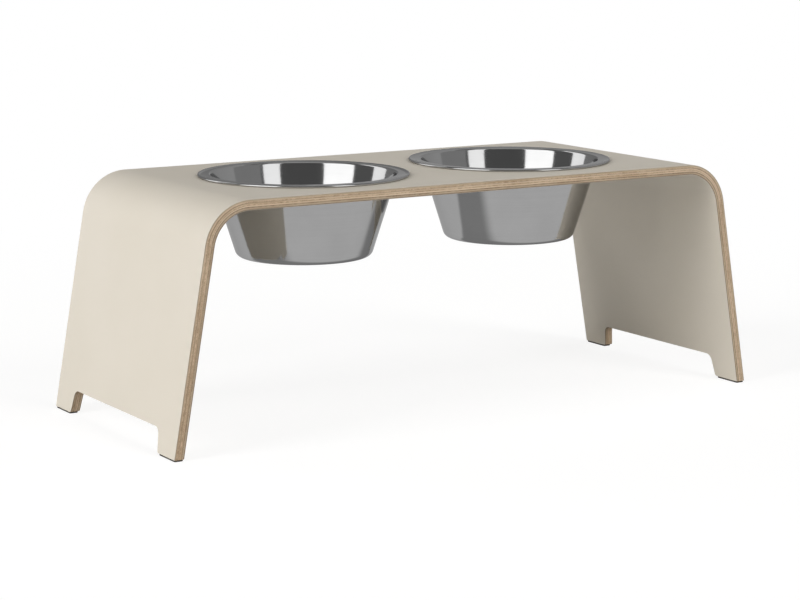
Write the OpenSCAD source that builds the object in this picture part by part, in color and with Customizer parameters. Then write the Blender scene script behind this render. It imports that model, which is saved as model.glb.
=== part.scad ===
// Raised feeding stand for a dog: one sheet of moulded plywood, bent at both ends into splayed legs, faced
// on both sides with laminate, with two round cut-outs that hold lift-out steel bowls.
// X runs along the stand, Y from its front edge (-Y) to its back edge (+Y), Z up. The floor is at z = 0 and
// the stand is centred on X and Y.

/* [Stand] */
// Height of the top face above the floor
stand_h = 199.3; // [170:0.1:320]
// Length over the outer faces of the two legs at their lower ends
stand_len = 566; // [560:1:700]
// Width of the sheet, from front edge to back edge
stand_w = 226; // [210:1:300]
// Lean of each leg away from upright
leg_splay = 10; // [4:1:14]
// Radius of the outer face in the bend between top and leg
bend_r = 40; // [24:1:48]

/* [Sheet] */
// Thickness of one wood veneer
veneer_t = 1; // [0.6:0.1:1.4]
// Thickness of the laminate facing on each side
laminate_t = 0.7; // [0.5:0.1:1]

/* [Feet] */
// Height of the notch in each leg above the floor
notch_h = 20.8; // [12:0.1:40]
// Length of each foot along the lower edge of the leg
foot_len = 30; // [24:1:50]
// Lean of the notch's sides away from upright
notch_lean = 11.5; // [0:0.5:20]
// Radius in the two upper corners of the notch
notch_r = 6.5; // [2:0.5:8]
// Radius on the lower corner of each foot, on its notch side
toe_r = 2; // [1:0.5:4]
// Thickness of the pad under each foot
pad_t = 1.5; // [1:0.1:5]
// Margin between the edges of a foot's flat underside and its pad
pad_inset = 0.5; // [0.5:0.1:2]

/* [Bowls] */
// Distance between the middles of the two bowls
bowl_pitch = 207.4; // [190:0.1:215]
// Diameter over the rolled rim
rim_d = 177.4; // [172:0.1:180]
// Height of the rolled rim above the top face
rim_h = 2.2; // [1.8:0.1:3]
// Diameter of the bowl's body where it passes the top face
body_d = 155.6; // [140:0.1:156]
// Depth of the bowl below the top face
body_depth = 67.9; // [45:0.1:80]
// Lean of the bowl's wall away from upright
wall_lean = 17.4; // [8:0.1:20]
// Radius of the outside corner between wall and bottom
base_r = 6.8; // [3:0.1:12]
// Radius of the underside where the wall turns out into the flange
lip_r = 1.6; // [1.2:0.1:3]
// How far the flange lies below the top of the rolled rim
flange_drop = 0.2; // [0.1:0.1:0.4]
// Thickness of the steel
steel_t = 0.6; // [0.5:0.1:0.7]
// Diameter of each cut-out in the sheet
hole_d = 160; // [158:0.5:164]

/* [Hidden] */
$fn = 96;
SIDES = [["left", -1], ["right", 1]];
ROWS = [["front", -1], ["back", 1]];

veneer_count = 7;
sheet_t = 2 * laminate_t + veneer_count * veneer_t;
// How far a cutting shape runs past the faces that it cuts
past = 5;
// How far an arc that is cut out runs past the lines that it touches, so that they meet cleanly
overlap = 0.0005;

// How far the middle of an arc of radius r lies inside the corner between a level line and a line that
// leans by a from upright, when the arc touches both.
function corner_inset(r, a) = r * (1 - sin(a)) / cos(a);

// Where the outer faces of top and leg would meet without the bend
corner_x = stand_len / 2 - (stand_h - pad_t) * tan(leg_splay);
bend_x = corner_x - corner_inset(bend_r, leg_splay);
bend_z = stand_h - bend_r;

// Half the length of the notch at the level of its top, up to its corners, and below
function notch_half(z) = stand_w / 2 - foot_len - (z - pad_t) * tan(notch_lean);
notch_arc_y = notch_half(notch_h) - corner_inset(notch_r, notch_lean);
notch_arc_z = notch_h - notch_r;
// Middle of the round lower corner of a foot
toe_mid = [notch_half(pad_t + toe_r) + toe_r / cos(notch_lean), pad_t + toe_r];

// Bowl: levels, and the middles of the three round corners of its section (distance from axis, height)
bottom_z = stand_h - body_depth;
curl_r = rim_h / 2;
curl_mid = [rim_d / 2 - curl_r, stand_h + curl_r];
// Gap between the rim's tucked-in raw edge and the flange
slit = 0.4;
flange_top_z = stand_h + rim_h - flange_drop;
lip_mid = [body_d / 2 + (flange_top_z - steel_t - lip_r - stand_h) * tan(wall_lean) + lip_r / cos(wall_lean),
           flange_top_z - steel_t - lip_r];
base_mid = [body_d / 2 - (body_depth - base_r) * tan(wall_lean) - base_r / cos(wall_lean),
            bottom_z + base_r];
// Direction square to the wall, outwards
wall_out = [cos(wall_lean), -sin(wall_lean)];

// ---- sheet ----

// All that lies under the sheet's outer face moved inwards by depth, down past the floor, in the XZ plane
module under_face(depth) {
    r = bend_r - depth;
    leg_top = [bend_x + r * cos(leg_splay), bend_z + r * sin(leg_splay)];
    leg_low = [leg_top[0] + (leg_top[1] + past) * tan(leg_splay), -past];
    right = [leg_low, leg_top, [bend_x, bend_z], [bend_x, bend_z + r]];
    left = [for (i = [len(right) - 1 : -1 : 0]) [-right[i][0], right[i][1]]];
    polygon(concat(right, left));
    for (side = [-1, 1]) translate([side * bend_x, bend_z]) circle(r);
}

// Section of the notch in the YZ plane: sides that lean in towards the top, round upper corners, and the
// round lower corners of the feet
module notch_section() {
    square_out = [cos(notch_lean), sin(notch_lean)];
    top_mid = [notch_arc_y, notch_arc_z];
    right = [[toe_mid[0], -past], toe_mid, toe_mid - toe_r * square_out, top_mid + notch_r * square_out,
             top_mid, [notch_arc_y, notch_h]];
    left = [for (i = [len(right) - 1 : -1 : 0]) [-right[i][0], right[i][1]]];
    difference() {
        union() {
            polygon(concat(right, left));
            for (side = [-1, 1]) translate([side * notch_arc_y, notch_arc_z]) circle(notch_r);
        }
        for (side = [-1, 1]) translate([side * toe_mid[0], toe_mid[1]]) circle(toe_r + overlap);
    }
}

// One layer of the bent sheet, between two depths below the outer face
module layer(depth, thickness) {
    difference() {
        rotate([90, 0, 0]) linear_extrude(stand_w, center = true) difference() {
            under_face(depth);
            under_face(depth + thickness);
            translate([-stand_len, -2 * past]) square([2 * stand_len, 2 * past + pad_t]);
        }
        for (side = [-1, 1]) translate([side * bowl_pitch / 2, 0, stand_h - sheet_t - past])
            cylinder(d = hole_d, h = sheet_t + 2 * past);
        rotate([90, 0, 90]) linear_extrude(stand_len + 2 * past, center = true) notch_section();
    }
}

module laminate_outer() {
    color("#ded6c6") layer(0, laminate_t);
}

module laminate_inner() {
    color("#d2c8b6") layer(sheet_t - laminate_t, laminate_t);
}

// Veneers are counted from the outer face; the grain of every second one runs across
module veneer(i) {
    color(i % 2 == 1 ? "#cfae82" : "#b08a5e") layer(laminate_t + (i - 1) * veneer_t, veneer_t);
}

// ---- feet ----

// A thin pad glued under the flat underside of one foot, a little smaller than it
module foot_pad(side, row) {
    foot_t = sheet_t / cos(leg_splay);
    near = toe_mid[0] + pad_inset;
    far = stand_w / 2 - pad_inset;
    middle = [side * (stand_len - foot_t) / 2, row * (near + far) / 2, pad_t / 2];
    color("#3b3631") translate(middle) cube([foot_t - 2 * pad_inset, far - near, pad_t], center = true);
}

// ---- bowls ----

// All on the axis side of the bowl's outer face moved inwards by depth, up to z = high; past the lip it
// goes on level, out to x = reach
module inside_face(depth, high, reach) {
    wall_low = base_mid + (base_r - depth) * wall_out;
    wall_high = lip_mid - (lip_r + depth) * wall_out;
    level = lip_mid[1] + lip_r + depth;
    difference() {
        union() {
            polygon([[0, bottom_z + depth], [base_mid[0], bottom_z + depth], base_mid, wall_low, wall_high,
                     lip_mid, [lip_mid[0], level], [reach, level], [reach, high], [0, high]]);
            translate(base_mid) circle(base_r - depth);
        }
        translate(lip_mid) circle(lip_r + depth + overlap);
    }
}

// Section of the bowl, on the right of its axis. The flange ends in a hollow roll whose raw edge is tucked
// under it, with a slit between the edge and the flange.
module bowl_section() {
    flange_low = flange_top_z - steel_t;
    difference() {
        union() {
            inside_face(0, flange_top_z, curl_mid[0]);
            translate(curl_mid) circle(curl_r);
        }
        inside_face(steel_t, flange_top_z + past, lip_mid[0]);
        translate(curl_mid) circle(curl_r - steel_t);
        polygon([curl_mid, [curl_mid[0], flange_low], [curl_mid[0] - curl_r - slit, flange_low],
                 [curl_mid[0] - curl_r - slit, curl_mid[1] - curl_r]]);
    }
}

module bowl(side) {
    color("#c9cacb") translate([side * bowl_pitch / 2, 0, 0]) rotate_extrude() bowl_section();
}

laminate_outer();
for (i = [1 : veneer_count])
    veneer(i);
laminate_inner();
for (side = SIDES, row = ROWS)
    foot_pad(side[1], row[1]);
for (side = SIDES)
    bowl(side[1]);
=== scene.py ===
# %% [markdown]
# # A raised feeding stand with two lift-out steel bowls
# The real stand is one sheet of moulded plywood, bent down at both ends into splayed legs. A thin laminate
# faces it on both sides, and along every edge its nine layers lie open to view. Two steel bowls hang by
# their rims in round cut-outs. The imported CAD model holds every size and place. This script gives the same
# pieces their finished surfaces, so it starts by loading that model and reads sizes from its parts' boxes.

# %% Load the imported model
import math

import bpy
import numpy as np
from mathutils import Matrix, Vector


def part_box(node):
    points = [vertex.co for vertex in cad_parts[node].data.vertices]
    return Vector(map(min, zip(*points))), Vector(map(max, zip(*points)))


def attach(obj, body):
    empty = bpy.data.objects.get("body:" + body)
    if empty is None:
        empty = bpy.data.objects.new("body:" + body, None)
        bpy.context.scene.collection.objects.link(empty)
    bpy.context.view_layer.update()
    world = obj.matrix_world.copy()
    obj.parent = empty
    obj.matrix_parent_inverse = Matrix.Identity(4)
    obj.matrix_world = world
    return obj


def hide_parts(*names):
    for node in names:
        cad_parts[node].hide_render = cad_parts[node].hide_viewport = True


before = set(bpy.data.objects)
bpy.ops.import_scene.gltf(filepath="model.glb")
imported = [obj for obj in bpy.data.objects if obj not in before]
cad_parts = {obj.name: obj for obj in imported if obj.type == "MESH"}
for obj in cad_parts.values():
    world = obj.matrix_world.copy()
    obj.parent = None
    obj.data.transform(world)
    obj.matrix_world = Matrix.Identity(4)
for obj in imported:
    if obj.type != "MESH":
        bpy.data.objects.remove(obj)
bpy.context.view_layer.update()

# %% [markdown]
# # The camera
# The photograph looks down a little on the stand from its front left, through a long lens from about two
# metres away, so that far edges stay almost as large as near ones. Place, turn and lens were found
# together, as the ones that bring the stand's corners and both rims to where the photograph shows them.

# %% Camera
camera_place = (-1.05459, -1.69013, 0.43832)
camera_yaw = math.radians(31.7313)
camera_pitch = math.radians(10.0931)
camera_roll = math.radians(-0.0488)
camera_lens = 105.142

camera_data = bpy.data.cameras.new("camera")
camera_data.lens = camera_lens
camera_data.sensor_width = 36
camera = bpy.data.objects.new("camera", camera_data)
camera.location = camera_place
camera.rotation_euler = (math.pi / 2 - camera_pitch, camera_roll, -camera_yaw)
bpy.context.scene.collection.objects.link(camera)
bpy.context.scene.camera = camera
bpy.context.scene.view_settings.view_transform = "Standard"
print("camera:", round(math.dist(camera_place, (0, 0, 0)), 2), "m from the stand, lens", camera_lens, "mm")

# %% [markdown]
# # Turning arrays into meshes
# Every surface below is worked out as whole arrays of points, with cells that name four points each, seen
# counter-clockwise from outside. Points that fall on the same place, such as those along the seam of two
# grids, are merged before a mesh is made, so that each piece is one closed skin.

# %% Grids, merging and meshes
def grid_cells(rows, columns):
    """Cells of a grid whose points are numbered row by row: each cell runs to the next row, then to the
    next column, and back."""
    at = np.arange(rows * columns).reshape(rows, columns)
    return np.stack([at[:-1, :-1], at[1:, :-1], at[1:, 1:], at[:-1, 1:]], -1).reshape(-1, 4)


def merged(points, cells, digits=8):
    """One point for each distinct place, and the cells renumbered to match."""
    places = points.round(digits) + 0.0
    kept, first, number = np.unique(places, axis=0, return_index=True, return_inverse=True)
    return points[first], number.reshape(-1)[cells]


def make_piece(name, points, faces, sharp_angle=30):
    """A mesh object at the origin, shaded smooth except along edges sharper than sharp_angle degrees."""
    mesh = bpy.data.meshes.new(name)
    mesh.from_pydata(points, [], faces)
    mesh.validate()
    mesh.shade_smooth()
    mesh.set_sharp_from_angle(angle=math.radians(sharp_angle))
    piece = bpy.data.objects.new(name, mesh)
    bpy.context.scene.collection.objects.link(piece)
    print(name, len(points), "points,", len(faces), "faces")
    return piece


print("a grid of 3 by 3 points has the cells", grid_cells(3, 3).tolist())

# %% [markdown]
# # The bent sheet
# A moulded sheet is pressed from a stack of flat layers, so all nine are the same shape at different depths
# below the outer face. That is how it is made here too. One flat plan of cells, with its two cut-outs and
# notched ends, is drawn once. A single formula then bends the plan to any depth. A layer is the plan bent
# twice, at its upper and lower face, with a wall along every free edge.

# %% Sizes of the sheet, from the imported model
LAYERS = ["laminate_outer"] + [f"veneer_{i}" for i in range(1, 8)] + ["laminate_inner"]
sheet_low, sheet_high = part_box("laminate_outer")
stand_h = sheet_high.z
stand_len = sheet_high.x - sheet_low.x
stand_w = sheet_high.y - sheet_low.y
foot_z = sheet_low.z

leg_splay = math.radians(10)
bend_r = 0.040
corner_x = stand_len / 2 - (stand_h - foot_z) * math.tan(leg_splay)
bend_x = corner_x - bend_r * (1 - math.sin(leg_splay)) / math.cos(leg_splay)
bend_z = stand_h - bend_r

depths = [round(stand_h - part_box(name)[1].z, 6) for name in LAYERS]
laminate_t = depths[1]
depths.append(depths[-1] + laminate_t)
sheet_t = depths[-1]
print("layer faces lie below the outer face by", [round(d * 1000, 2) for d in depths], "mm")

bowl_low, bowl_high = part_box("bowl_right")
bowl_x = (bowl_low.x + bowl_high.x) / 2
hole_r = 0.080

# %% The lower edge of a leg
notch_h = 0.0208
foot_len = 0.030
notch_lean = math.radians(11.5)
notch_r = 0.0065
toe_r = 0.002
ACROSS_STEPS, NOTCH_STEPS, LEAN_STEPS, TOE_STEPS, FOOT_STEPS = 18, 10, 5, 6, 6


def arc(middle, radius, start, end, steps):
    """Points on an arc from angle start to angle end, in degrees counter-clockwise from level."""
    angle = np.radians(np.linspace(start, end, steps + 1))
    return np.array(middle) + radius * np.stack([np.cos(angle), np.sin(angle)], -1)


def line(start, end, steps):
    """Points at even steps on a line, without its end."""
    return np.linspace(start, end, steps, endpoint=False)


def half_notch(z):
    """Half the notch's length at height z, on its leaning side."""
    return stand_w / 2 - foot_len - (z - foot_z) * math.tan(notch_lean)


def lower_edge():
    """The leg's lower edge from front to back, as (y, z): flat under each foot, a small arc round the toe,
    straight up the leaning side of the notch, a larger arc, and level across."""
    arc_y = half_notch(notch_h) - notch_r * (1 - math.sin(notch_lean)) / math.cos(notch_lean)
    toe = (half_notch(foot_z + toe_r) + toe_r / math.cos(notch_lean), foot_z + toe_r)
    lean = math.degrees(notch_lean)
    upper = arc((arc_y, notch_h - notch_r), notch_r, 90, lean, NOTCH_STEPS)
    lower = arc(toe, toe_r, 180 + lean, 270, TOE_STEPS)
    corner = (stand_w / 2, foot_z)
    half = np.concatenate([line((0, notch_h), upper[0], ACROSS_STEPS), upper[:-1],
                           line(upper[-1], lower[0], LEAN_STEPS), lower[:-1],
                           line(lower[-1], corner, FOOT_STEPS), [corner]])
    return np.concatenate([half[:0:-1] * (-1, 1), half])


edge_y, edge_z = lower_edge().T
print("lower edge of a leg:", len(edge_y), "points")

# %% The plan: half of the sheet, flat
BEND_STEPS, LEG_STEPS, RING_STEPS, SIDE_STEPS = 28, 8, 6, 44


def hole_plan():
    """The flat part round a cut-out. Rays run out from the circle to the border of a rectangle that reaches
    from the middle of the stand to as far beyond the bowl, and from front edge to back edge."""
    half_w = stand_w / 2
    far_x = 2 * bowl_x
    side_x = np.linspace(far_x, 0, SIDE_STEPS + 1)
    border = np.concatenate([np.stack([np.full_like(edge_y, far_x), edge_y], -1)[:-1],
                             np.stack([side_x, np.full_like(side_x, half_w)], -1)[:-1],
                             np.stack([np.zeros_like(edge_y), -edge_y], -1)[:-1],
                             np.stack([side_x[::-1], np.full_like(side_x, -half_w)], -1)])
    ray = border - (bowl_x, 0)
    circle = hole_r * ray / np.linalg.norm(ray, axis=1, keepdims=True)
    out = np.linspace(0, 1, RING_STEPS + 1)[:, None, None]
    place = (bowl_x, 0) + circle + (ray - circle) * out
    return place[..., 0] / bend_x, place[..., 1]


def leg_plan():
    """From that rectangle over the bend and down the leg, with columns at every point of the lower edge."""
    along = np.concatenate([[2 * bowl_x / bend_x], np.linspace(1, 2, BEND_STEPS + 1),
                            np.linspace(2, 3, LEG_STEPS + 1)[1:]])
    return np.meshgrid(along, edge_y, indexing="ij")


def whole_plan():
    """Both halves as points (t, y) and cells. t runs 0 to 1 from the middle to the bend, 1 to 2 round the
    bend and 2 to 3 down the leg, and is negative on the left, where the grids' rows are turned round."""
    points, cells, count = [], [], 0
    for t, y in (hole_plan(), leg_plan()):
        for side in (1, -1):
            points.append(np.stack([side * t[::side], y[::side]], -1).reshape(-1, 2))
            cells.append(grid_cells(*t.shape) + count)
            count += t.size
    return merged(np.concatenate(points), np.concatenate(cells))


plan, plan_cells = whole_plan()
print("plan:", len(plan), "points,", len(plan_cells), "cells")

# %% Bending the plan
def bent(depth):
    """The plan's points on the face at a depth below the outer face. Up to t = 1 they lie level. From 1 to 2
    they turn about the bend's axis, at its outer radius less the depth. From 2 to 3 they slide from the end
    of the bend down the leaning leg, to the height of the lower edge. Also gives each point's place in the
    flat sheet, before it was bent: distance from the middle, y, and depth."""
    t, y = plan.T
    far = np.abs(t)
    turn = np.clip(far - 1, 0, 1) * (math.pi / 2 - leg_splay)
    radius = bend_r - depth
    x = bend_x * np.minimum(far, 1) + radius * np.sin(turn)
    z = bend_z + radius * np.cos(turn)
    drop = np.clip(far - 2, 0, 1) * (z - np.interp(y, edge_y, edge_z))
    along = bend_x * np.minimum(far, 1) + bend_r * turn + drop / math.cos(leg_splay)
    side = np.sign(t)
    points = np.stack([side * (x + drop * math.tan(leg_splay)), y, z - drop], -1)
    return points, np.stack([side * along, y, np.full_like(y, depth)], -1)


flat_size = np.ptp(bent(0)[1], axis=0)
print("outer face laid flat:", np.round(flat_size[:2] * 1000, 1), "mm")

# %% Walls and eased edges
def free_edges(cells):
    """The edges that only one cell has, as (start, end) with the cell on their left."""
    edges = np.stack([cells, np.roll(cells, -1, axis=1)], -1).reshape(-1, 2)
    count = cells.max() + 1
    own, other = edges @ (count, 1), edges @ (1, count)
    return edges[~np.isin(own, other)]


def sheet_layer(name, depth, depth_below, eased=None):
    """One layer: the plan bent at both depths, the lower face turned round, and a wall from each free edge.
    eased is the radius that softens the sheet's outer edge, with which of the two faces it is on."""
    (upper, upper_flat), (lower, lower_flat) = bent(depth), bent(depth_below)
    count = len(upper)
    edges = free_edges(plan_cells)
    start, end = edges.T
    walls = np.stack([end, start, start + count, end + count], -1)
    faces = np.concatenate([plan_cells, plan_cells[:, ::-1] + count, walls])
    piece = make_piece(name, np.concatenate([upper, lower]), faces)
    flat = np.concatenate([upper_flat, lower_flat]).astype(np.float32)
    piece.data.attributes.new("flat_sheet", "FLOAT_VECTOR", "POINT").data.foreach_set("vector", flat.ravel())
    if eased:
        soften_edge(piece, edges + count * eased[1], eased[0])
    return piece


def soften_edge(piece, edges, radius):
    """Rounds the given edges with a bevel that leaves all others square."""
    mesh = piece.data
    pairs = np.zeros(len(mesh.edges) * 2, int)
    mesh.edges.foreach_get("vertices", pairs)
    count = len(mesh.vertices)
    key = np.sort(pairs.reshape(-1, 2), axis=1) @ (count, 1)
    chosen = np.isin(key, np.sort(edges, axis=1) @ (count, 1))
    weights = mesh.attributes.new("bevel_weight_edge", "FLOAT", "EDGE")
    weights.data.foreach_set("value", chosen.astype(np.float32))
    sharp = np.zeros(len(mesh.edges), bool)
    mesh.attributes["sharp_edge"].data.foreach_get("value", sharp)
    mesh.attributes["sharp_edge"].data.foreach_set("value", sharp & ~chosen)
    bevel = piece.modifiers.new("eased edge", "BEVEL")
    bevel.width = radius
    bevel.segments = 2
    bevel.limit_method = "WEIGHT"
    bevel.harden_normals = True


print("free edges of the plan:", len(free_edges(plan_cells)))

# %% The nine layers
edge_ease = 0.0002
easing = {"laminate_outer": (edge_ease, 0), "laminate_inner": (edge_ease, 1)}
layers = [sheet_layer(name + "_sheet", depths[i], depths[i + 1], easing.get(name))
          for i, name in enumerate(LAYERS)]

# %% [markdown]
# # Skins made of rings
# The foot pads and the bowls are both closed skins made of rings, from a point on top to a point below. The
# end rings have shrunk to a point, so their cells become triangles.

# %% Closing a stack of rings
def ring_skin(name, rings):
    """A closed piece from rings of points, listed from its top to its bottom and counter-clockwise from
    above. The first point of each ring is repeated to close it, and all repeats are then merged."""
    closed = np.concatenate([rings, rings[:, :1]], axis=1)
    points, cells = merged(closed.reshape(-1, 3), grid_cells(*closed.shape[:2]))
    repeats = cells == np.roll(cells, -1, axis=1)
    at_pole = repeats.any(axis=1)
    kept_corners = (np.argmax(repeats, axis=1)[:, None] + (0, 2, 3)) % 4
    triangles = np.take_along_axis(cells, kept_corners, axis=1)[at_pole]
    return make_piece(name, points, cells[~at_pole].tolist() + triangles.tolist())

# %% [markdown]
# # The foot pads
# Each foot stands on a thin dark pad, cut from sheet and stuck on, a little smaller than the foot. A real
# die-cut pad has slightly soft corners and edges. So it is a rounded rectangle carried down through rings:
# a little narrower at the top, then at full size, and narrower again where it meets the floor.

# %% Foot pads
pad_corner_r = 0.0012
pad_ease = 0.0004
EASE_STEPS = 4
PADS = [f"foot_pad_{row}_{side}" for side in ("left", "right") for row in ("front", "back")]


def rounded_rectangle(half_x, half_y, radius, steps=6):
    """Outline of a rectangle with round corners, counter-clockwise, as (x, y)."""
    corners = [(1, 1, 0), (-1, 1, 90), (-1, -1, 180), (1, -1, 270)]
    return np.concatenate([arc((sx * (half_x - radius), sy * (half_y - radius)), radius, a, a + 90, steps)
                           for sx, sy, a in corners])


def foot_pad(node):
    """Rings of the rounded rectangle. Round the upper edge the ring grows by the cosine of an angle while it
    falls by its sine, and round the lower edge it does the same in reverse."""
    low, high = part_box(node)
    middle, half = (low + high) / 2, (high - low) / 2
    angle = np.radians(np.linspace(90, 0, EASE_STEPS + 1))
    inset = 1 - np.cos(angle)
    fall = pad_ease * (1 - np.sin(angle))
    inset = np.concatenate([inset, inset[::-1]])[:, None, None]
    level = np.concatenate([high.z - fall, low.z + fall[::-1]])
    full = rounded_rectangle(half.x, half.y, pad_corner_r)
    slim = rounded_rectangle(half.x - pad_ease, half.y - pad_ease, pad_corner_r - pad_ease)
    outline = full + (slim - full) * inset
    outline = np.concatenate([outline[:1] * 0, outline, outline[:1] * 0])
    level = np.concatenate([level[:1], level, level[-1:]])
    heights = np.broadcast_to(level[:, None, None], outline.shape[:2] + (1,))
    return ring_skin(node + "_sheet", np.concatenate([outline, heights], -1) + (middle.x, middle.y, 0))


pads = [foot_pad(node) for node in PADS]

# %% [markdown]
# # The bowls
# A steel feeding bowl is pressed from a disc: a flat bottom, a leaning wall, a narrow flange, and a rim
# rolled outwards and under, so that no raw edge can be touched. Its section is one closed line, drawn from
# the middle of the inside, out over the rim and back underneath. Turning it about the axis gives the bowl.
# A mirror-like wall shows every kink, so the round parts have many short steps.

# %% Sizes of a bowl
wall_lean = math.radians(17.4)
steel_t = 0.0006
base_r = 0.0068
lip_r = 0.0016
flange_drop = 0.0002
slit = 0.0004
body_r = 0.0778

rim_top = bowl_high.z
bottom_z = bowl_low.z
curl_r = (rim_top - stand_h) / 2
curl_mid = ((bowl_high.x - bowl_low.x) / 2 - curl_r, stand_h + curl_r)
flange_top = rim_top - flange_drop
lip_z = flange_top - steel_t - lip_r
lip_mid = (body_r + (lip_z - stand_h) * math.tan(wall_lean) + lip_r / math.cos(wall_lean), lip_z)
base_z = bottom_z + base_r
base_mid = (body_r + (base_z - stand_h) * math.tan(wall_lean) - base_r / math.cos(wall_lean), base_z)
print("bowl: rim", round(curl_mid[0] + curl_r, 4), "lip", np.round(lip_mid, 4), "base", np.round(base_mid, 4))

# %% The bowl's section
FLAT_STEPS, BASE_STEPS, LIP_STEPS, ROLL_STEPS, HOLLOW_STEPS = 8, 10, 8, 24, 16


def bowl_section():
    """Half of the section as (distance from the axis, height): along the inside, over the lip and flange,
    round the roll to its raw edge, back through the roll's hollow, and down the outside."""
    lean = math.degrees(wall_lean)
    raw_edge = math.degrees(math.atan2(-curl_r, -curl_r - slit))
    hollow_r = curl_r - steel_t
    on_flange = 180 - math.degrees(math.asin((flange_top - curl_mid[1]) / curl_r))
    in_hollow = 180 - math.degrees(math.asin((flange_top - steel_t - curl_mid[1]) / hollow_r))
    parts = [line((0, bottom_z + steel_t), (base_mid[0], bottom_z + steel_t), FLAT_STEPS),
             arc(base_mid, base_r - steel_t, -90, -lean, BASE_STEPS),
             arc(lip_mid, lip_r + steel_t, 180 - lean, 90, LIP_STEPS),
             arc(curl_mid, curl_r, on_flange, raw_edge, ROLL_STEPS),
             arc(curl_mid, hollow_r, raw_edge, in_hollow, HOLLOW_STEPS),
             arc(lip_mid, lip_r, 90, 180 - lean, LIP_STEPS),
             arc(base_mid, base_r, -lean, -90, BASE_STEPS),
             line((0, bottom_z), (base_mid[0], bottom_z), FLAT_STEPS)[::-1]]
    return np.concatenate(parts)


section = bowl_section()
print("bowl section:", len(section), "points")

# %% Bowls
BOWLS = ["bowl_left", "bowl_right"]
AROUND = 192
long_stretch = 0.02
WALL_STEPS = 7


def bowl(node):
    """The section turned about the bowl's axis. Long straight stretches, such as the wall, are first split
    so that no cell is much longer than wide."""
    low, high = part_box(node)
    steps = np.linalg.norm(np.diff(section, axis=0), axis=1)
    place = np.concatenate([[0], np.cumsum(steps)])
    extra = np.concatenate([np.linspace(start, end, WALL_STEPS + 1)[1:-1]
                            for start, end, step in zip(place, place[1:], steps) if step > long_stretch])
    place_all = np.sort(np.concatenate([place, extra]))
    r, z = (np.interp(place_all, place, section[:, k])[:, None] for k in (0, 1))
    angle = np.linspace(0, 2 * math.pi, AROUND, endpoint=False)
    rings = np.stack(np.broadcast_arrays(r * np.cos(angle), r * np.sin(angle), z), -1)
    return ring_skin(node + "_steel", rings + ((low.x + high.x) / 2, 0, 0))


bowls = [bowl(node) for node in BOWLS]

# %% [markdown]
# # Writing finishes as formulas
# A finish is a small calculation done at every point of a surface, such as where a wood fibre is dark. In
# the node editor it would be dozens of Math nodes. Here one class wraps an output socket, so that ordinary
# Python operators add those nodes, and every other node comes from one method.

# %% Signals
class Signal:
    """An output of a material's nodes. Operators on values add Math nodes, and node() adds any other."""

    def __init__(self, tree, socket=None):
        self.tree = tree
        self.socket = socket

    def node(self, kind, settings=None, inputs=None, output=0):
        """Adds a node, sets its settings first, and then gives each input a signal or a plain value."""
        made = self.tree.nodes.new(kind)
        for name, value in (settings or {}).items():
            setattr(made, name, value)
        for name, value in (inputs or {}).items():
            if isinstance(value, Signal):
                self.tree.links.new(value.socket, made.inputs[name])
            else:
                made.inputs[name].default_value = value
        return Signal(self.tree, made.outputs[output] if made.outputs else None)

    def value(self, operation, *operands):
        """A Math node's result."""
        return self.node("ShaderNodeMath", {"operation": operation}, dict(enumerate(operands)))

    def __add__(self, other):
        return self.value("ADD", self, other)

    def __sub__(self, other):
        return self.value("SUBTRACT", self, other)

    def __mul__(self, other):
        return self.value("MULTIPLY", self, other)

    def __rsub__(self, other):
        return self.value("SUBTRACT", other, self)

    __radd__ = __add__
    __rmul__ = __mul__

    def stretched(self, *scale):
        """A vector with each part multiplied by its own number."""
        return self.node("ShaderNodeVectorMath", {"operation": "MULTIPLY"}, {0: self, 1: scale})

    def noise(self, detail=2, roughness=0.5):
        """Smooth noise round 0.5, with one blob per unit of this vector."""
        return self.node("ShaderNodeTexNoise", {"noise_dimensions": "3D"},
                         {"Vector": self, "Scale": 1, "Detail": detail, "Roughness": roughness})

    def step(self, low, high):
        """0 below low and 1 above high, with a smooth ramp between them."""
        return self.node("ShaderNodeMapRange", {"interpolation_type": "SMOOTHSTEP"},
                         {"Value": self, "From Min": low, "From Max": high})

    def choose(self, colour_at_0, colour_at_1):
        """A colour mixed by this value."""
        return self.node("ShaderNodeMix", {"data_type": "RGBA"},
                         {0: self, 6: colour_at_0, 7: colour_at_1}, output=2)

    def bump(self, height):
        """A normal for a relief whose lowest and highest points are height apart, in metres."""
        return self.node("ShaderNodeBump", inputs={"Height": self, "Distance": height})

# %% Colours and shaders
def colour(red, green, blue):
    """A colour as seen on a screen, 0 to 255, turned into the linear values that the shader reads."""
    screen = np.array((red, green, blue)) / 255
    linear = np.where(screen < 0.04045, screen / 12.92, ((screen + 0.055) / 1.055) ** 2.4)
    return (*(float(v) for v in linear), 1)


def new_finish(name):
    """An empty material, with a signal to start its formulas from."""
    material = bpy.data.materials.new(name)
    material.use_nodes = True
    material.node_tree.nodes.clear()
    return material, Signal(material.node_tree)


def surface(start, shader):
    """Connects a shader to the material's output."""
    start.node("ShaderNodeOutputMaterial", inputs={"Surface": shader})


def principled(start, **inputs):
    """The Principled shader, with its sockets named in words joined by underscores."""
    surface(start, start.node("ShaderNodeBsdfPrincipled",
                              inputs={key.replace("_", " "): value for key, value in inputs.items()}))


print("a screen's middle grey is", round(colour(128, 128, 128)[0], 3), "to the shader")

# %% [markdown]
# # The laminate
# The facing is a sheet of paper layers pressed with resin: a thin cream decor layer over a brown core. The
# face is matt, with a very fine even texture that keeps fingerprints from showing. The sawn edge shows the
# core. Each point's depth in the sheet says which of the two it belongs to. The noises' sizes are given in
# blobs per metre along the sheet, across it and in depth.

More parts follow.
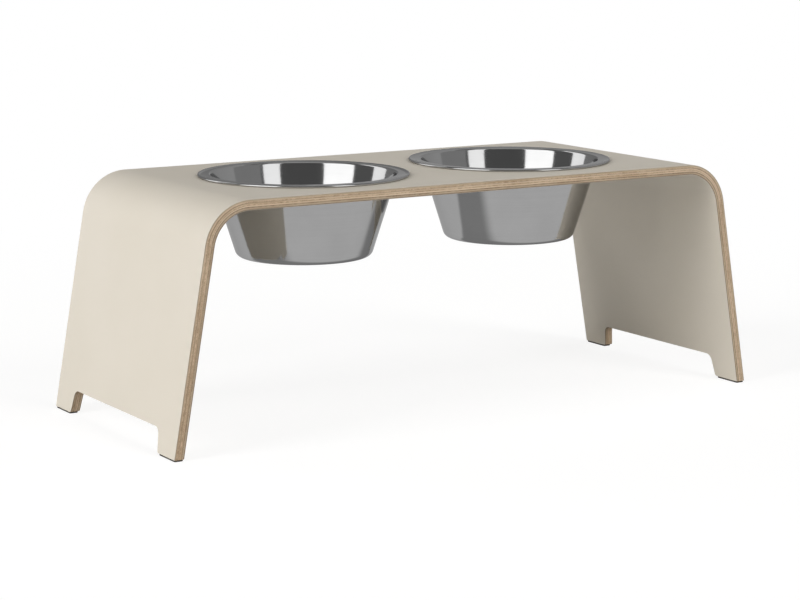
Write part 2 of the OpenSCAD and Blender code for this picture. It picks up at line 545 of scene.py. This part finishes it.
# %% Laminate finish
decor_t = 0.0001
DECOR = colour(226, 218, 204)
DECOR_SHADE = colour(223, 215, 200)
CORE = colour(188, 173, 152)
CORE_DARK = colour(166, 149, 127)
# The inner laminate's core is darker than the outer one's: painted shade along the lower side of the sheet's
# edge.
SHADED_INNER_CORE = colour(153, 135, 115)
SHADED_INNER_CORE_DARK = colour(132, 114, 95)
CLOUDS, GRAINS, TEXTURE = (9, 9, 9), (1400, 1400, 1400), (2600, 2600, 2600)
PAPER = (160, 160, 9000)
NOISE_RANGE = (0.35, 0.65)
laminate_relief = 0.00003


def laminate_finish(name, decor_depth, core_depth, core_pale, core_dark):
    """The decor at one depth, and the core at the other. Clouds and grains vary the decor's tone and gloss,
    and thin layers of paper vary the core's tone."""
    material, start = new_finish(name)
    flat = start.node("ShaderNodeAttribute", {"attribute_name": "flat_sheet"}, output="Vector")
    depth = start.node("ShaderNodeSeparateXYZ", inputs={0: flat}, output=2)
    side = 1 if core_depth > decor_depth else -1
    core = ((depth - decor_depth) * side).step(decor_t * 0.8, decor_t * 1.2)
    clouds = flat.stretched(*CLOUDS).noise(3)
    grains = flat.stretched(*GRAINS).noise(2, 0.6)
    face = (clouds * 0.7 + grains * 0.3).step(*NOISE_RANGE).choose(DECOR, DECOR_SHADE)
    paper = flat.stretched(*PAPER).noise(2)
    edge = paper.step(*NOISE_RANGE).choose(core_pale, core_dark)
    texture = flat.stretched(*TEXTURE).noise(2, 0.7)
    roughness = core * 0.12 + (clouds * 0.10 + grains * 0.06 + 0.40)
    principled(start, Base_Color=core.choose(face, edge), Roughness=roughness,
               Normal=texture.bump(laminate_relief))
    return material


laminate_outer_finish = laminate_finish("laminate outer", 0, laminate_t, CORE, CORE_DARK)
laminate_inner_finish = laminate_finish("laminate inner", sheet_t, sheet_t - laminate_t, SHADED_INNER_CORE,
                                        SHADED_INNER_CORE_DARK)
print("laminate:", round(laminate_t * 1000, 2), "mm thick, of which decor", round(decor_t * 1000, 2), "mm")

# %% [markdown]
# # The veneers
# Only the edges of the seven veneers can be seen. Where a veneer's grain runs along the edge it is pale and
# finely streaked. Where the grain runs across, the edge cuts the fibres into short dark dashes. Each veneer
# has a shade of its own: partly the wood's own tone, and partly painted shade, for the veneers grow darker
# towards the inner face. Thin glue lines lie between the layers, some clearer than others. Round the bends,
# where the press squeezed the stack, they are broader and the wood is paler. One solid pattern does for both
# kinds: long fibres in the flat sheet, turned a quarter for every second layer.

# %% Veneer finishes
LONG_FIBRES, LONG_PALE, LONG_DARK = (14, 420, 2600), (217, 196, 168), (175, 149, 118)
CROSS_FIBRES, CROSS_PALE, CROSS_DARK = (1500, 14, 2200), (203, 179, 150), (153, 127, 99)
BAND_SHARE, GROWTH = 0.18, (24, 24, 500)
WOOD_RANGE = (0.38, 0.62)
# Each veneer's shade: partly the wood's own tone, and partly painted shade, darker near the inner face.
VENEER_TONES_AND_SHADE = (0.92, 1.13, 0.99, 1.19, 1.12, 0.85, 0.83)
GLUE = (112, 88, 66)
GLUE_LINES = (0.5, 0.0, 1.0, 0.0, 0.5, 1.0, 0.0, 1.0)
glue_from, glue_spread = 0.34, 0.22
bend_paling = 0.25
blur_out, blur_in = 0.002, 0.010
veneer_relief = 0.00006
veneer_t = depths[2] - depths[1]
bend_end = bend_x + bend_r * (math.pi / 2 - leg_splay)
print("the bend takes up", round(bend_x * 1000, 1), "to", round(bend_end * 1000, 1), "mm of the flat sheet")


def shaded(screen, shade):
    """The colour with its light scaled by shade."""
    return tuple(part * shade for part in colour(*screen)[:3]) + (1,)


def veneer_finish(name, fibre_scale, pale, dark, shade, glue_above, glue_below):
    """Fibres, bands of them and growth rings together choose between pale and dark wood. fibre_scale says how
    many fibres there are per metre along the sheet, across it and in depth. A glue line starts at glue_from
    of the veneer's thickness from its middle, and sooner by glue_spread round a bend. The two along the
    veneer's faces have strengths of their own."""
    material, start = new_finish(name)
    flat = start.node("ShaderNodeAttribute", {"attribute_name": "flat_sheet"}, output="Vector")
    along, depth = (start.node("ShaderNodeSeparateXYZ", inputs={0: flat}, output=k) for k in (0, 2))
    along = start.value("ABSOLUTE", along)
    past_start = along.step(bend_x - blur_out, bend_x + blur_in)
    past_end = along.step(bend_end - blur_in, bend_end + blur_out)
    in_bend = past_start - past_end
    fibres = flat.stretched(*fibre_scale).noise(3, 0.6)
    bands = flat.stretched(*(BAND_SHARE * s for s in fibre_scale)).noise(2)
    growth = flat.stretched(*GROWTH).noise(2)
    wood = (fibres * 0.5 + bands * 0.3 + growth * 0.2).step(*WOOD_RANGE)
    grain = (wood - in_bend * bend_paling).choose(shaded(pale, shade), shaded(dark, shade))
    layer_place = start.value("FRACT", (depth - laminate_t) * (1 / veneer_t))
    clear = glue_from - in_bend * glue_spread
    upper_line = (0.5 - layer_place).step(clear, 0.5) * glue_above
    lower_line = (layer_place - 0.5).step(clear, 0.5) * glue_below
    glue = upper_line + lower_line
    principled(start, Base_Color=glue.choose(grain, colour(*GLUE)), Roughness=wood * 0.12 + 0.5,
               Normal=(fibres - glue * 0.8).bump(veneer_relief))
    return material


GRAINS_BY_TURN = [(LONG_FIBRES, LONG_PALE, LONG_DARK), (CROSS_FIBRES, CROSS_PALE, CROSS_DARK)]
veneer_finishes = [veneer_finish(f"veneer {i + 1}", *GRAINS_BY_TURN[i % 2], shade, *GLUE_LINES[i:i + 2])
                   for i, shade in enumerate(VENEER_TONES_AND_SHADE)]
print(len(veneer_finishes), "veneer finishes")

# %% [markdown]
# # The foot pads' rubber
# The pads are dense black-brown rubber: nearly matt, a little dusty, with a faint cellular texture.

# %% Rubber finish
RUBBER, RUBBER_DUST = colour(52, 47, 43), colour(84, 79, 72)
CELLS, DUST = (3000, 3000, 3000), (220, 220, 220)
DUST_RANGE = (0.35, 0.75)
rubber_relief = 0.00008


def rubber_finish():
    """Soft patches of dust vary tone and gloss, and small cells make the relief."""
    material, start = new_finish("foot pad rubber")
    place = start.node("ShaderNodeTexCoord", output="Object")
    cells = place.stretched(*CELLS).noise(2, 0.6)
    dust = place.stretched(*DUST).noise(3)
    principled(start, Base_Color=dust.step(*DUST_RANGE).choose(RUBBER, RUBBER_DUST),
               Roughness=dust * 0.15 + 0.68, Normal=cells.bump(rubber_relief))
    return material


pad_finish = rubber_finish()
print(pad_finish.name, "has", len(pad_finish.node_tree.nodes), "nodes")

# %% [markdown]
# # The bowls' steel
# The pressed bowl is polished while it spins, which leaves very fine rings round its axis. They are far too
# fine to see one by one, but they soften each reflection and vary its gloss a little. The pattern therefore
# depends on the distance from the axis and on the height, and hardly on the way round.

# %% Steel finish
STEEL, STEEL_HAZY = colour(190, 190, 190), colour(182, 182, 182)
EDGE_TINT = (0.68, 0.68, 0.68, 1)
RINGS, WIDE_RINGS, HAZE = (3200, 3200, 0), (160, 160, 0), (30, 30, 30)
STEEL_RANGE = (0.3, 0.7)
steel_relief = 0.0000004


def steel_finish(name, axis_x):
    """Rings of noise: the bowl's points are centred on its axis, and the noise reads (radius, height)."""
    material, start = new_finish(name)
    place = start.node("ShaderNodeTexCoord", output="Object")
    centred = start.node("ShaderNodeMapping", inputs={"Vector": place, "Location": (-axis_x, 0, 0)})
    level = centred.stretched(1, 1, 0)
    radius = start.node("ShaderNodeVectorMath", {"operation": "LENGTH"}, {0: level}, output="Value")
    height = start.node("ShaderNodeSeparateXYZ", inputs={0: centred}, output=2)
    ring_place = start.node("ShaderNodeCombineXYZ", inputs={0: radius, 1: height})
    rings = ring_place.stretched(*RINGS).noise(2, 0.7)
    wide_rings = ring_place.stretched(*WIDE_RINGS).noise(2)
    haze = centred.stretched(*HAZE).noise(3)
    tone = (rings * 0.5 + haze * 0.5).step(*STEEL_RANGE).choose(STEEL, STEEL_HAZY)
    roughness = rings * 0.03 + wide_rings * 0.02 + (haze * 0.03 + 0.05)
    principled(start, Base_Color=tone, Metallic=1.0, Specular_Tint=EDGE_TINT, Roughness=roughness,
               Normal=rings.bump(steel_relief))
    return material


AXES = {"left": -bowl_x, "right": bowl_x}
steel_finishes = [steel_finish(f"steel {side}", axis_x) for side, axis_x in AXES.items()]
print("rings are centred on x =", [round(axis_x, 4) for axis_x in AXES.values()])

# %% [markdown]
# # The room: floor and white surround
# The stand is on a plain pale floor that runs out to white. Most of the floor's white is a glow that only
# camera, mirror and glass rays see, so it adds no light to the stand. The rest is the floor as the lamps
# light it, which keeps the soft shadow under the stand. Glow and lit floor together stay just below white.
# Further out the glow takes over, and the floor melts into the world.

# %% Floor
floor_half = 6.0
FLOOR = (224, 223, 221)
near_glow = 0.85
lit_share = 0.32
glow_near_r, glow_far_r = 0.45, 1.1


def seen_directly(start):
    """1 for rays from the camera, a mirror or glass, and 0 for rays that carry light between surfaces."""
    eye, mirror, glass = (start.node("ShaderNodeLightPath", output=f"Is {kind} Ray")
                          for kind in ("Camera", "Glossy", "Transmission"))
    return start.value("MAXIMUM", eye, start.value("MAXIMUM", mirror, glass))


def glow(start, brightness):
    """An even white glow."""
    return start.node("ShaderNodeEmission", inputs={"Color": (1, 1, 1, 1), "Strength": brightness})


def floor_finish():
    """The plain floor for light between surfaces; for the eye, a share of it with the glow added."""
    material, start = new_finish("pale floor")
    place = start.node("ShaderNodeTexCoord", output="Object")
    away = start.node("ShaderNodeVectorMath", {"operation": "LENGTH"}, {0: place}, output="Value")
    far = away.step(glow_near_r, glow_far_r)
    plain = start.node("ShaderNodeBsdfDiffuse", inputs={"Color": colour(*FLOOR)})
    faint = start.node("ShaderNodeBsdfDiffuse", inputs={"Color": shaded(FLOOR, lit_share)})
    near = start.node("ShaderNodeAddShader", inputs={0: faint, 1: glow(start, near_glow)})
    seen = start.node("ShaderNodeMixShader", inputs={0: far, 1: near, 2: glow(start, 1)})
    surface(start, start.node("ShaderNodeMixShader", inputs={0: seen_directly(start), 1: plain, 2: seen}))
    return material


def flat_square(name, half, level):
    """A square that reaches half to each side, at a height."""
    square = np.array([(-1, -1), (1, -1), (1, 1), (-1, 1)]) * half
    return make_piece(name, np.column_stack([square, np.full(4, level)]), [(0, 1, 2, 3)])


floor = flat_square("floor", floor_half, 0)
floor.data.materials.append(floor_finish())

# %% The white surround
ambient = 0.06
world = bpy.data.worlds.new("white surround")
bpy.context.scene.world = world
world.use_nodes = True
world.node_tree.nodes.clear()
air = Signal(world.node_tree)
strength = seen_directly(air) * (1 - ambient) + ambient
air.node("ShaderNodeOutputWorld", inputs={
    "Surface": air.node("ShaderNodeBackground", inputs={"Color": (1, 1, 1, 1), "Strength": strength})})
print("surround: white to look at, and", ambient, "as light")

# %% [markdown]
# # The soft lights
# Four soft boxes light the stand: a strong one on its left, a second in front, and two weak ones that keep
# the far sides from going dark. They are far enough off to light all of the stand alike. Each is given as
# azimuth, elevation, width and height in degrees, and how bright it looks. The steel doesn't mirror them.

# %% Soft lights
light_r = 12.0
LIGHTS = {"key left": (-96, 21, 24, 42, 7.0), "fill front": (166, 28, 19, 48, 5.0),
          "back left": (-38, 20, 26, 36, 1.5), "right": (100, 25, 50, 40, 1.3)}


def direction(azimuth, elevation):
    """Unit vector at an azimuth in degrees from the back of the stand towards its right, and an elevation."""
    a, e = np.radians((azimuth, elevation))
    return np.array((math.sin(a) * math.cos(e), math.cos(a) * math.cos(e), math.sin(e)))


def softbox(name, azimuth, elevation, wide, high, radiance):
    """A rectangular soft light, aimed at the stand, that spans the given angles and looks radiance bright."""
    size = [2 * light_r * math.tan(math.radians(angle / 2)) for angle in (wide, high)]
    data = bpy.data.lights.new(name, "AREA")
    data.shape = "RECTANGLE"
    data.size, data.size_y = size
    data.energy = radiance * size[0] * size[1] * math.pi
    light = bpy.data.objects.new(name, data)
    towards = direction(azimuth, elevation)
    light.location = towards * light_r + (0, 0, stand_h / 2)
    light.rotation_euler = (math.radians(90 - elevation), 0, math.radians(180 - azimuth))
    light.visible_camera = light.visible_glossy = False
    bpy.context.scene.collection.objects.link(light)
    print("light", name, "is", np.round(size, 1), "m wide and high")


for name, place_and_size in LIGHTS.items():
    softbox(name, *place_and_size)

# %% [markdown]
# # What the steel mirrors
# A polished bowl shows its surroundings more than itself, so in a studio cards are stood round it. White
# ones, as bright as the front of a soft light, beside dark ones give the wall its crisp bands, and mid-grey
# ones keep the rest calm. Each card here is a patch of a large sphere between two azimuths, with a dark and
# a mid-grey one overhead. Only mirror-like rays see them, so they neither light nor shade the stand, nor show
# in the picture. A grey sheet does the same for the floor, and is darker where the stand shades it.

# %% Cards
card_r = 12.0
card_bottom, card_top = -4, 50
CARD_STEPS = 12
CARDS = {"card_dark_front": (177, 238, 0.11), "card_white_left": (-122, -79, 2.0),
         "card_dark_left": (-79, -46.5, 0.13), "card_white_back": (-46.5, -21, 1.5),
         "card_back": (-21, 29, 0.29), "card_right": (29, 106, 0.43), "card_right_front": (106, 149, 0.31),
         "card_near_fill": (149, 153, 0.15), "card_white_front": (153, 177, 1.6)}
ceiling_grey, ceiling_top = 0.18, 66
zenith_grey, zenith_top = 0.5, 89.9
floor_grey, floor_shade = 0.68, 0.32
floor_card_half = 3.0
floor_card_z = 0.0002
SHADE_ENDS, SHADE_FRONT, SHADE_BACK = (0.32, 0.38), (0.044, 0.119), (0.11, 0.145)
shade_mid_x, shade_slant = 0.02, 0.062


def mirrored_only(piece, brightness, in_shade=None):
    """Gives the piece an even glow that only mirror-like rays see. in_shade is its brightness in the stand's
    shade, a patch that fades out beyond both ends, before and behind. It reaches further back than forward,
    and its front border is the softest and runs a little aslant."""
    material, start = new_finish(piece.name)
    light = glow(start, brightness)
    if in_shade:
        place = start.node("ShaderNodeTexCoord", output="Object")
        x, y = (start.node("ShaderNodeSeparateXYZ", inputs={0: place}, output=k) for k in (0, 1))
        beyond = start.value("ABSOLUTE", x - shade_mid_x).step(*SHADE_ENDS)
        before = (x * shade_slant - y).step(*SHADE_FRONT)
        behind = y.step(*SHADE_BACK)
        lit = start.value("MAXIMUM", beyond, start.value("MAXIMUM", before, behind))
        light = start.node("ShaderNodeMixShader", inputs={0: lit, 1: glow(start, in_shade), 2: light})
    surface(start, light)
    piece.data.materials.append(material)
    piece.visible_camera = piece.visible_diffuse = piece.visible_shadow = False


def card(name, azimuth_from, azimuth_to, brightness, low=card_bottom, high=card_top):
    """A patch of the sphere: rows go round from one azimuth to the other, and columns go up."""
    azimuth, elevation = np.radians(np.meshgrid(np.linspace(azimuth_from, azimuth_to, CARD_STEPS + 1),
                                                np.linspace(low, high, CARD_STEPS + 1), indexing="ij"))
    towards = np.stack([np.sin(azimuth) * np.cos(elevation), np.cos(azimuth) * np.cos(elevation),
                        np.sin(elevation)], -1)
    points = towards.reshape(-1, 3) * card_r + (0, 0, stand_h / 2)
    mirrored_only(make_piece(name, points, grid_cells(*azimuth.shape)), brightness)


for name, span_and_brightness in CARDS.items():
    card(name, *span_and_brightness)
card("card_ceiling", -180, 180, ceiling_grey, card_top, ceiling_top)
card("card_zenith", -180, 180, zenith_grey, ceiling_top, zenith_top)
mirrored_only(flat_square("floor_card", floor_card_half, floor_card_z), floor_grey, floor_shade)

# %% [markdown]
# # Dressing, riding and finishing
# Each new piece stands for its CAD node, which is hidden, and rides on that node's body.

# %% Dress the pieces
def dress(piece, finish, node, body):
    """Gives a piece its finish and body, and hides the CAD node it stands for."""
    piece.data.materials.append(finish)
    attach(piece, body)
    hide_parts(node)


layer_finishes = [laminate_outer_finish] + veneer_finishes + [laminate_inner_finish]
veneer_slots = ["veneer_cross_grain" if i % 2 else "veneer_long_grain" for i in range(len(veneer_finishes))]
layer_slots = ["laminate"] + veneer_slots + ["laminate"]
for piece, finish, node, slot in zip(layers, layer_finishes, LAYERS, layer_slots):
    dress(piece, finish, node, "stand")
for piece, node in zip(pads, PADS):
    dress(piece, pad_finish, node, "stand")
for piece, finish, node in zip(bowls, steel_finishes, BOWLS):
    dress(piece, finish, node, node)
print("dressed", len(layers + pads + bowls), "pieces")
